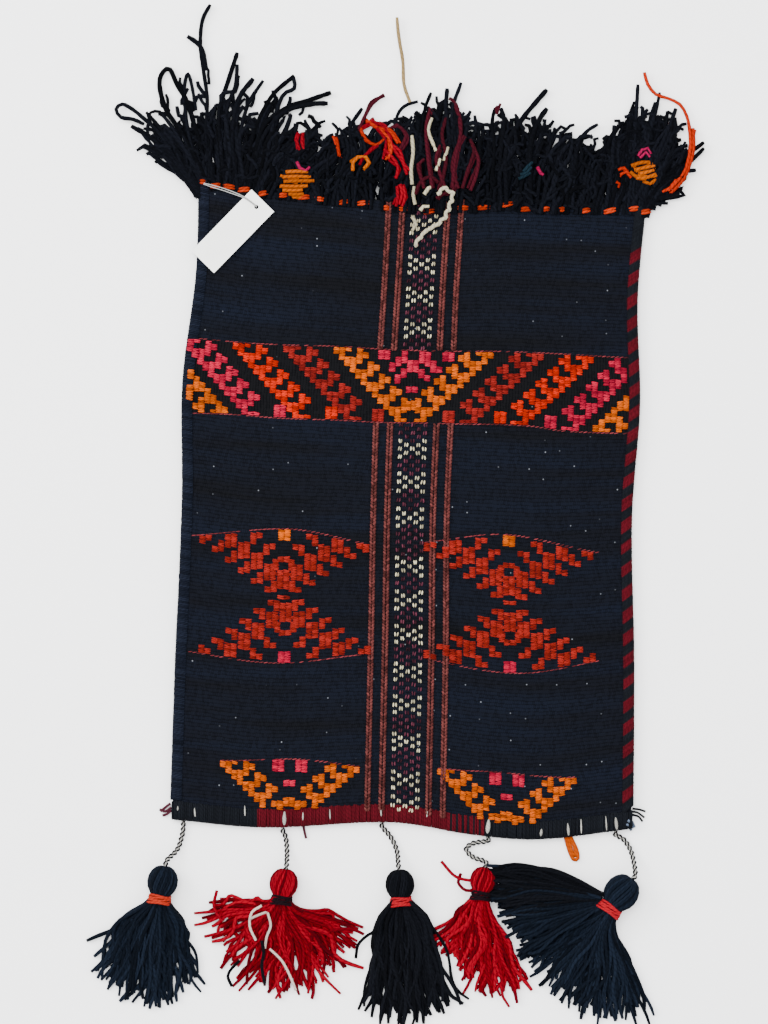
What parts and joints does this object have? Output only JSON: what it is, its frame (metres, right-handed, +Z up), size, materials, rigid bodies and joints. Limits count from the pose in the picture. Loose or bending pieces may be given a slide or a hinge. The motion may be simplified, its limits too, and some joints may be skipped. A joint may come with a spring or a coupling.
{
  "type": "kilim saddle bag",
  "caption": "Flat hand-woven wool pouch with brocaded front, open fringed mouth, overcast edges, foot tassels and a blank card tag.",
  "frame": {"origin": "on the underside of the back cloth, at the middle of the pouch, where it lies on the table", "axes": "+Z up out of the brocaded front, +Y from the foot to the fringed mouth, +X to the right of the front"},
  "size_m": [0.4277, 0.6917, 0.0207],
  "materials": {
    "front_cloth": "matt hand-spun yarn",
    "back_cloth": "matt hand-spun yarn",
    "binding_dark": "matt hand-spun yarn",
    "binding_two_colour": "matt hand-spun yarn",
    "binding_red": "matt hand-spun yarn",
    "fringe_wool": "matt hand-spun yarn",
    "tag_card": "plain uncoated card",
    "thread": "matt hand-spun yarn",
    "cream_wool": "matt hand-spun yarn",
    "tassel_navy": "matt hand-spun yarn",
    "tassel_red": "matt hand-spun yarn",
    "tassel_black": "matt hand-spun yarn",
    "tie_orange": "matt hand-spun yarn",
    "tie_dark": "matt hand-spun yarn",
    "tie_red": "matt hand-spun yarn",
    "braided_cord": "matt hand-spun yarn"
  },
  "bodies": {
    "root": {"front_panel": "front_cloth", "back_panel": "back_cloth", "side_binding_left": "binding_dark", "side_binding_right": "binding_two_colour", "hem_binding_left": "binding_dark", "hem_binding_middle": "binding_red", "hem_binding_right": "binding_dark", "back_fringe": "fringe_wool", "tag": "tag_card", "tag_thread": "thread", "cream_yarn": "cream_wool", "tassel_1_yarns": "tassel_navy", "tassel_1_tie": "tie_orange", "tassel_1_cord": "braided_cord", "tassel_2_yarns": "tassel_red", "tassel_2_tie": "tie_dark", "tassel_2_cord": "braided_cord", "tassel_3_yarns": "tassel_black", "tassel_3_tie": "tie_red", "tassel_3_cord": "braided_cord", "tassel_4_yarns": "tassel_red", "tassel_4_tie": "tie_dark", "tassel_4_cord": "braided_cord", "tassel_5_yarns": "tassel_navy", "tassel_5_tie": "tie_red", "tassel_5_cord": "braided_cord", "fringe_lock_01": "fringe_wool", "fringe_lock_02": "fringe_wool", "fringe_lock_03": "fringe_wool", "fringe_lock_04": "fringe_wool", "fringe_lock_05": "fringe_wool", "fringe_lock_06": "fringe_wool", "fringe_lock_07": "fringe_wool", "fringe_lock_08": "fringe_wool", "fringe_lock_09": "fringe_wool", "fringe_lock_10": "fringe_wool", "fringe_lock_11": "fringe_wool", "fringe_lock_12": "fringe_wool"}
  },
  "joints": []
}
